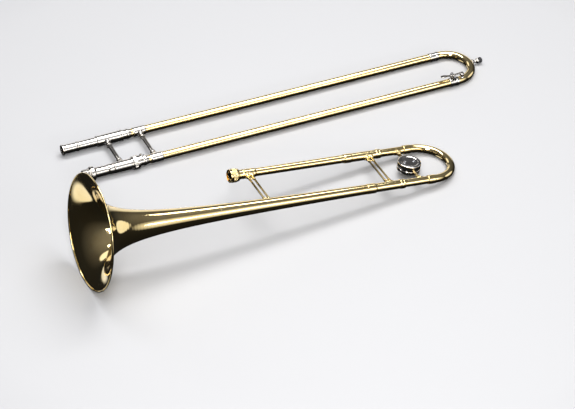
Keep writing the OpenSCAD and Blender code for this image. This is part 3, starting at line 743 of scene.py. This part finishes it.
for node, material in (("leadpipe", LACQUER), ("inner_tube_upper", NICKEL), ("stocking_upper", NICKEL),
                       ("cork_barrel_upper", NICKEL), ("barrel_cork_upper", CORK)):
    dress(returned(node + "_turned", node, UPPER, 72, 0.15 * MM), material, "inner_slide", node)
for node, material in (("inner_tube_lower", NICKEL), ("stocking_lower", NICKEL),
                       ("cork_barrel_lower", NICKEL), ("barrel_cork_lower", CORK)):
    dress(returned(node + "_turned", node, LOWER, 72, 0.15 * MM), material, "inner_slide", node)


def cross_bar(name, node, tube_r, body):
    """A turned bar whose flared feet are fitted to the two tubes it joins."""
    lo, hi = span(node, SLIDE)
    half = slide_pitch / 2
    foot_r = (hi.x - lo.x) / 2
    bar_r = foot_r - 2.6 * MM
    y = half - tube_r + 2 * MM
    side = [(-y, foot_r), (-y + 2.5 * MM, bar_r + 2.5 * MM), (-y + 4.4 * MM, bar_r + 1 * MM),
            (-y + 9 * MM, bar_r), (-y + 9.7 * MM, bar_r + 1 * MM), (-y + 12.3 * MM, bar_r + 1 * MM),
            (-y + 13 * MM, bar_r), (-y + 20 * MM, bar_r - 0.3 * MM)]
    points = [(-y, 0), *side, *[(-x, r) for x, r in side[::-1]], (y, 0)]

    def seat(p):
        reach = half - math.sqrt(max(0.0, (tube_r - 0.1 * MM) ** 2 - p.z**2))
        return Vector((max(-reach, min(reach, p.x)), p.y, p.z))
    outline = [points[0], *[(q.x, q.y) for q in solid(points, 0.5 * MM)[1:-1]], points[-1]]
    feet = [(-y, foot_r * k / 8) for k in range(1, 8)]
    outline = [outline[0], *feet, *outline[1:-1], *[(-x, r) for x, r in feet[::-1]], outline[-1]]
    x = (lo.x + hi.x) / 2
    turn = axes(SLIDE @ Vector((x, 0, 0)), SLIDE.to_3x3() @ Vector((0, 1, 0)),
                SLIDE.to_3x3() @ Vector((1, 0, 0)))
    dress(turned(name, outline, turn, 64, mould=seat, closed=False), NICKEL, body, node)


cross_bar("grip_bar", "grip_brace", radius_at("cork_barrel_upper", UPPER, middle("grip_brace", UPPER).x),
          "inner_slide")
cross_bar("hand_bar", "hand_brace", span("hand_flange_upper", UPPER)[1].z, "outer_slide")

# ---------- slide lock: knurled ring with a hook that turns over the stud ----------
ring_box_lo, ring_box_hi = span("slide_lock_ring", LOWER)
stud_lo, stud_hi = span("lock_stud", LOWER)
stud_mid = (stud_lo + stud_hi) / 2
stud_angle = math.atan2(stud_mid.z, stud_mid.y)
LOCK_OPEN = math.radians(40)
RING_R, RING_BORE_R, STUD_R = 12.2 * MM, 10 * MM, 2 * MM
ring_x0 = ring_box_lo.x
ring_x1 = ring_x0 + 11.4 * MM
hook_x1 = ring_box_hi.x
HOOK_IN_R = 11.1 * MM


def lock_ring():
    points = [Vector(p) for p in (
        (ring_x0, RING_BORE_R), (ring_x0, RING_R - 0.4 * MM), (ring_x0 + 0.6 * MM, RING_R),
        (ring_x1 - 0.6 * MM, RING_R), (ring_x1, RING_R - 0.4 * MM), (ring_x1, RING_BORE_R))]
    ring = turned("lock_ring_hooked", ring_outline(eased(points, 0.3 * MM)), LOWER, 300,
                  shape=knurl(ring_x0 + 1.4 * MM, ring_x0 + 8.2 * MM, RING_R - 0.2 * MM, 30, 0.5 * MM))
    hook_frame = turned_about_x(LOWER, stud_angle + LOCK_OPEN)

    def hook(bm):
        wrap = math.radians(24)
        steps = 24
        mid_x, half = (ring_x1 - 1 * MM + hook_x1) / 2, (hook_x1 - ring_x1 + 1 * MM) / 2
        grid = []
        for i in range(steps + 1):
            a = -wrap + 2 * wrap * i / steps
            reach = half * (1 - 0.28 * max(0.0, abs(a) / wrap - 0.6) / 0.4)
            x0, x1 = mid_x - half, mid_x - half + 2 * reach
            c, s = math.cos(a), math.sin(a)
            ring_points = [(x0, HOOK_IN_R), (x1 - 0.3 * MM, HOOK_IN_R), (x1, HOOK_IN_R + 0.3 * MM),
                           (x1, RING_R - 0.3 * MM), (x1 - 0.3 * MM, RING_R), (x0, RING_R)]
            grid.append([hook_frame @ Vector((x, r * c, r * s)) for x, r in ring_points])
        first_mid, last_mid = (sum(row, Vector()) / len(row) for row in (grid[0], grid[-1]))
        grid.insert(0, [first_mid] * 6)
        grid.append([last_mid] * 6)
        add_grid(bm, grid, wrap_rows=False)

    def slot(bm):
        gap = STUD_R + 0.4 * MM
        x = stud_mid.x
        box_into(bm, hook_frame, (x - gap, 8 * MM, -20 * MM), (x + gap, 16 * MM, 0), 0.01 * MM)

    def slot_end(bm):
        gap = STUD_R + 0.4 * MM
        turned_into(bm, [(8 * MM, 0), (8 * MM, gap), (16 * MM, gap), (16 * MM, 0)],
                    across(hook_frame, stud_mid.x), 40, closed=False)
    plate = combined(cutter(hook), [cutter(slot), cutter(slot_end)])
    return combined(ring, [plate], "UNION", 40)


dress(lock_ring(), NICKEL, "slide_lock", "slide_lock_ring")
STUD = across(turned_about_x(LOWER, stud_angle), stud_mid.x)
stud_top = 13.6 * MM
dress(turned("lock_stud_turned", solid([(8.2 * MM, 0), (8.2 * MM, 2.9 * MM), (8.7 * MM, 2.9 * MM),
                                        (9.4 * MM, STUD_R), (stud_top - 0.6 * MM, STUD_R),
                                        (stud_top, STUD_R - 0.9 * MM), (stud_top, 0)], 0.4 * MM),
             STUD, 48, closed=False), NICKEL, "outer_slide", "lock_stud")

# ---------- outer slide ----------
for end, axis in (("upper", UPPER), ("lower", LOWER)):
    dress(returned("outer_tube_%s_skin" % end, "outer_tube_" + end, axis, 96, 0.12 * MM), LACQUER,
          "outer_slide", "outer_tube_" + end)
    for part in ("top_ferrule", "hand_flange", "bow_ferrule"):
        node = "%s_%s" % (part, end)
        dress(returned(node + "_turned", node, axis), NICKEL, "outer_slide", node)

bow_lo, bow_hi = span("slide_bow", SLIDE)
outer_r = (bow_hi.y - bow_lo.y - slide_pitch) / 2
bow_x = bow_hi.x - slide_pitch / 2 - outer_r
nipple = middle("water_key_nipple", LOWER)
KEY = shifted(LOWER, nipple.x)
NIPPLE_BORE_R, BOW_WALL = 2 * MM, 0.5 * MM
bow = piped("slide_bow_bend", u_path(bow_lo.x, bow_x, slide_pitch / 2), SLIDE, outer_r, outer_r - BOW_WALL)
drain = cutter(lambda bm: turned_into(bm, [(2 * MM, 0), (2 * MM, NIPPLE_BORE_R), (12 * MM, NIPPLE_BORE_R),
                                           (12 * MM, 0)], upright(KEY, 0), 32, closed=False))
dress(combined(bow, [drain]), LACQUER, "outer_slide", "slide_bow")

BOW_TIP = shifted(SLIDE, bow_x + slide_pitch / 2)
knob_end = span("end_knob", BOW_TIP)[1].x
tip_end = span("end_tip", BOW_TIP)[1].x
knob = [(6.4, 0), (6.4, 5), (8.2, 4.9), (9.2, 4.6), (10.4, 3.1), (12.5, 2.8), (15, 3.1), (16, 4.4),
        (17.4, 5), (20.5, 5), (20.5, 0)]
dress(turned("end_knob_turned", solid([(x * knob_end / 20.5, r * MM) for x, r in knob], 0.5 * MM), BOW_TIP,
             64, closed=False), NICKEL, "outer_slide", "end_knob")
reach = tip_end - knob_end
tip = [(0, 0), (0, 4.6 * MM), (0.2 * reach, 5.3 * MM), (0.3 * reach, 4.9 * MM), (0.4 * reach, 5.3 * MM),
       (0.65 * reach, 5.4 * MM), (0.9 * reach, 4.5 * MM), (reach, 2.2 * MM), (reach, 0)]
dress(turned("end_tip_rubber", solid([(knob_end + x, r) for x, r in tip], 0.5 * MM), BOW_TIP, 64,
             closed=False), RUBBER, "outer_slide", "end_tip")

# ---------- water key ----------
pivot_point = LOWER.inverted() @ Vector(JOINTS["water_key"]["pos_m"])
PIVOT = shifted(LOWER, pivot_point.x, 0, pivot_point.z)
cup_x = nipple.x - pivot_point.x
bow_ferrule_r = span("bow_ferrule_lower", LOWER)[1].z
nipple_top = span("water_key_nipple", LOWER)[1].z


def nipple_piece():
    points = [Vector(p) for p in (
        (6.35 * MM, NIPPLE_BORE_R), (6.35 * MM, 4.2 * MM), (7.6 * MM, 3.5 * MM), (8.2 * MM, 3.2 * MM),
        (nipple_top, 3.2 * MM), (nipple_top, NIPPLE_BORE_R))]
    return turned("water_key_nipple_turned", eased(points, 0.35 * MM), upright(KEY, 0), 48)


dress(nipple_piece(), NICKEL, "outer_slide", "water_key_nipple")


def key_saddle():
    """A base fitted to the ferrule, with two round-topped ears."""
    bm = bmesh.new()
    r = bow_ferrule_r
    base = turned_about_x(LOWER, math.pi / 2)
    saddle_into(bm, base, pivot_point.x, r, 1, 6 * MM, 7.2 * MM, 0.9 * MM)
    obj = finish_mesh("water_key_saddle_eared", bm)

    def ears(bm):
        for y in (-5.5 * MM, 5.5 * MM):
            low = -(pivot_point.z - r * 0.86)
            outline = [(-3.4 * MM, low), (3.4 * MM, low)]
            outline += [(3 * MM * math.cos(t), 3 * MM * math.sin(t))
                        for t in [math.pi * k / 20 for k in range(21)]]
            bevel = 0.25 * MM
            grid = []
            for x, z in outline:
                n = Vector((x, z)).normalized() * bevel
                grid.append([PIVOT @ Vector(p) for p in (
                    (x - n.x, y - 1 * MM, z - n.y), (x, y - 1 * MM + bevel, z), (x, y + 1 * MM - bevel, z),
                    (x - n.x, y + 1 * MM, z - n.y))])
            centres = [PIVOT @ Vector((0, y + s * MM, 0)) for s in (-1, 1)]
            grid = [[centres[0], *row, centres[1]] for row in grid]
            add_grid(bm, grid, wrap_cols=False)
    joined = combined(obj, [cutter(ears)], "UNION")
    hole = cutter(lambda bm: turned_into(bm, [(-9 * MM, 0), (-9 * MM, 1.3 * MM), (9 * MM, 1.3 * MM),
                                              (9 * MM, 0)], across(PIVOT, 0), 32, closed=False))
    return combined(joined, [hole])


dress(key_saddle(), NICKEL, "outer_slide", "water_key_saddle")
screw_axis = axes(PIVOT.translation, PIVOT.to_3x3() @ Vector((0, -1, 0)), PIVOT.to_3x3() @ Vector((1, 0, 0)))
slotted_screw("water_key_screw_turned", screw_axis, -6.5 * MM, 6.8 * MM, 8.4 * MM, 1.25 * MM, 2.4 * MM,
              0.6 * MM, "outer_slide", "water_key_screw")


def spring_path():
    """A leg on the ferrule, three and a half turns round the screw and a leg under the lever."""
    r, turns, wire, per_turn = 2.2 * MM, 3, 0.62 * MM, 28
    path = [Vector((2.8 * MM, 3.55 * MM, -2.9 * MM)), Vector((1.4 * MM, 3.55 * MM, -2.45 * MM))]
    start = -math.pi / 2
    for k in range(per_turn * turns + per_turn // 2 + 1):
        t = TURN * k / per_turn
        path.append(Vector((r * math.cos(start - t), 3.5 * MM - wire * t / TURN, r * math.sin(start - t))))
    last = path[-1]
    path += [Vector((-2 * MM, last.y - 0.2 * MM, r)), Vector((-5 * MM, last.y - 0.6 * MM, r - 0.3 * MM)),
             Vector((-9 * MM, last.y - 1 * MM, r - 0.4 * MM))]
    return [PIVOT @ p for p in path]


dress(swept("water_key_spring_coil", spring_path(), 0.3 * MM, 12), STEEL, "outer_slide",
      "water_key_spring")


def key_lever():
    """Barrel on the screw, a bowed arm to the cup and a dished finger plate."""
    bm = bmesh.new()
    barrel = [Vector(p) for p in ((-3.8 * MM, 1.32 * MM), (-3.8 * MM, 2.9 * MM), (1.2 * MM, 2.9 * MM),
                                  (1.2 * MM, 1.32 * MM))]
    turned_into(bm, eased(barrel, 0.3 * MM), across(PIVOT, 0), 48)
    arm = [(-26.0, -1.3, 4.0, 1.4, 0.5), (-25.2, -1.3, 4.05, 2.9, 0.7), (-22.5, -1.3, 4.15, 3.7, 0.8),
           (-18, -1.3, 4.1, 3.4, 0.8), (-14, -1.3, 3.4, 2.3, 0.9), (-9, -1.3, 2.5, 1.9, 0.95),
           (-3, -1.3, 2.3, 1.9, 1.0), (3, -1.2, 2.3, 1.9, 1.0), (cup_x / MM - 7, -0.7, 2.1, 1.8, 0.95),
           (cup_x / MM - 2.5, -0.1, 2.2, 2.1, 0.9), (cup_x / MM + 1.5, 0, 2.3, 1.9, 0.6)]
    stations = [tuple(v * MM for v in row) for row in arm]
    smooth = []
    for first, second in zip(curve_through([row[:3] for row in stations]),
                             curve_through([(*row[3:], 0) for row in stations])):
        smooth.append((first.x, first.y, first.z, second.x, second.y))
    strap_into(bm, PIVOT, smooth)
    low = 10.9 * MM - pivot_point.z
    cup = [Vector((low + x * MM, r * MM)) for x, r in (
        (0, 3.75), (0, 4.4), (1.2, 4.4), (2.6, 4.1), (4, 3.2), (5.2, 1.6), (5.6, 0.02), (1.4, 0.02),
        (1.4, 3.75))]
    turned_into(bm, eased(cup, 0.25 * MM), upright(PIVOT, cup_x), 56)
    return finish_mesh("water_key_lever_bowed", bm, 50)


dress(key_lever(), NICKEL, "water_key", "water_key_lever")
pad_lo, pad_hi = span("water_key_cork", LOWER)
dress(turned("water_key_pad", solid([(pad_lo.z, 0), (pad_lo.z, 3.65 * MM), (pad_hi.z, 3.65 * MM),
                                     (pad_hi.z, 0)], 0.3 * MM), upright(KEY, 0), 48, closed=False),
      CORK, "water_key", "water_key_cork")

# ---------- floor, light and camera ----------
mesh = bpy.data.meshes.new("floor")
reach = 12.0
mesh.from_pydata([(-reach, -reach, 0), (reach, -reach, 0), (reach, reach, 0), (-reach, reach, 0)],
                 [], [(0, 1, 2, 3)])
floor = bpy.data.objects.new("floor", mesh)
bpy.context.scene.collection.objects.link(floor)
mat, tree, shader = nodes_of("floor_painted_light_pool")
coords = tree.nodes.new("ShaderNodeTexCoord")
distance = tree.nodes.new("ShaderNodeVectorMath")
distance.operation = "LENGTH"
tree.links.new(coords.outputs["Object"], distance.inputs[0])
# The floor's colour darkens from the middle outwards: a painted pool of light, dimmer grey further out.
tree.links.new(ramp(tree, levels(tree, distance.outputs["Value"], 0.7, 2.6, 0, 1),
                    [(0.0, (0.52, 0.52, 0.53)), (0.35, (0.40, 0.40, 0.41)), (1.0, (0.28, 0.28, 0.29))]),
               shader.inputs["Base Color"])
shader.inputs["Roughness"].default_value = 0.55
mesh.materials.append(mat)


def soft_box(name, at, aim, width, height, power):
    light = bpy.data.lights.new(name, "AREA")
    light.shape = "RECTANGLE"
    light.size, light.size_y = width, height
    light.energy = power
    lamp = bpy.data.objects.new(name, light)
    lamp.location = at
    lamp.rotation_mode = "QUATERNION"
    lamp.rotation_quaternion = (Vector(aim) - Vector(at)).to_track_quat("-Z", "Y")
    bpy.context.scene.collection.objects.link(lamp)


soft_box("key", (-0.9, -1.5, 1.9), (0, 0, 0), 0.5, 1.5, 34)
soft_box("strip", (0.2, 0.9, 2.1), (0, 0, 0), 2.6, 0.5, 34)
soft_box("front", (0.6, -2.3, 0.9), (0, 0, 0), 2.0, 0.3, 12)
soft_box("overhead", (0.5, 0.0, 2.6), (0.3, 0, 0), 2.2, 1.6, 40)

# The floor doesn't show in the metal, which mirrors the world's soft glows instead.
floor.visible_glossy = False
bpy.context.scene.view_settings.view_transform = "Standard"
world = bpy.data.worlds.new("studio")
bpy.context.scene.world = world
world.use_nodes = True
wt = world.node_tree
background = wt.nodes["Background"]
background.inputs["Strength"].default_value = 1.0
coords = wt.nodes.new("ShaderNodeTexCoord")
split = wt.nodes.new("ShaderNodeSeparateXYZ")
wt.links.new(coords.outputs["Generated"], split.inputs[0])


def glow(under, toward, inner_deg, outer_deg, strength):
    """Adds a soft round glow, seen in a direction, to the world's colour."""
    dot = wt.nodes.new("ShaderNodeVectorMath")
    dot.operation = "DOT_PRODUCT"
    dot.inputs[1].default_value = Vector(toward).normalized()
    wt.links.new(coords.outputs["Generated"], dot.inputs[0])
    edge = levels(wt, dot.outputs["Value"], math.cos(math.radians(outer_deg)),
                  math.cos(math.radians(inner_deg)), 0, strength)
    add = wt.nodes.new("ShaderNodeMix")
    add.data_type = "RGBA"
    add.blend_type = "ADD"
    add.clamp_result = False
    add.inputs["Factor"].default_value = 1.0
    wt.links.new(under, add.inputs["A"])
    wt.links.new(edge, add.inputs["B"])
    return add.outputs["Result"]


sky = ramp(wt, levels(wt, split.outputs["Z"], -1, 1, 0, 1),
           [(0.0, (0.01, 0.01, 0.01)), (0.45, (0.02, 0.02, 0.02)), (0.70, (0.09, 0.09, 0.095)),
            (1.0, (0.26, 0.26, 0.27))])
for toward, inner, outer, strength in (
        ((0.40, -0.86, 0.31), 18, 32, 1.00),    # low glow in front, for the tubes' lower band
        ((0.40, 0.92, -0.10), 18, 30, 1.00),    # low glow behind, for the line along their tops
        ((0.97, -0.19, 0.09), 17, 20, 1.10),    # window in the flare's outside
        ((-0.62, 0.36, -0.70), 12, 15, 1.10),   # three windows in the bell's inside
        ((-0.30, 0.89, 0.35), 12, 15, 1.30),
        ((-0.14, 0.91, -0.39), 8, 10, 1.00)):
    sky = glow(sky, toward, inner, outer, strength)
wt.links.new(sky, background.inputs["Color"])

CAMERA_AZIMUTH, CAMERA_ELEVATION, CAMERA_ROLL = math.radians(-28.8), math.radians(33.1), math.radians(7.8)
CAMERA_AIM = Vector((0.362, -0.008, 0.0))
CAMERA_DISTANCE = 5.169
CAMERA_LENS = 187.8


def place_camera():
    """Looks at the bell section from its own front left and above."""
    turn = BELL.to_3x3()
    az, el = CAMERA_AZIMUTH, CAMERA_ELEVATION
    back = Vector((math.sin(az) * math.cos(el), -math.cos(az) * math.cos(el), math.sin(el)))
    right = Vector((math.cos(az), math.sin(az), 0))
    up = back.cross(right)
    tilted = right * math.cos(CAMERA_ROLL) + up * math.sin(CAMERA_ROLL)
    upright_way = back.cross(tilted)
    eye = BELL @ (CAMERA_AIM + back * CAMERA_DISTANCE)
    columns = [turn @ tilted, turn @ upright_way, turn @ back]
    rows = [(*[c[i] for c in columns], eye[i]) for i in range(3)]
    data = bpy.data.cameras.new("camera")
    data.lens = CAMERA_LENS
    data.sensor_width = 36
    data.clip_start, data.clip_end = 0.05, 60
    cam = bpy.data.objects.new("camera", data)
    cam.matrix_world = Matrix([*rows, (0, 0, 0, 1)])
    bpy.context.scene.collection.objects.link(cam)
    bpy.context.scene.camera = cam


place_camera()
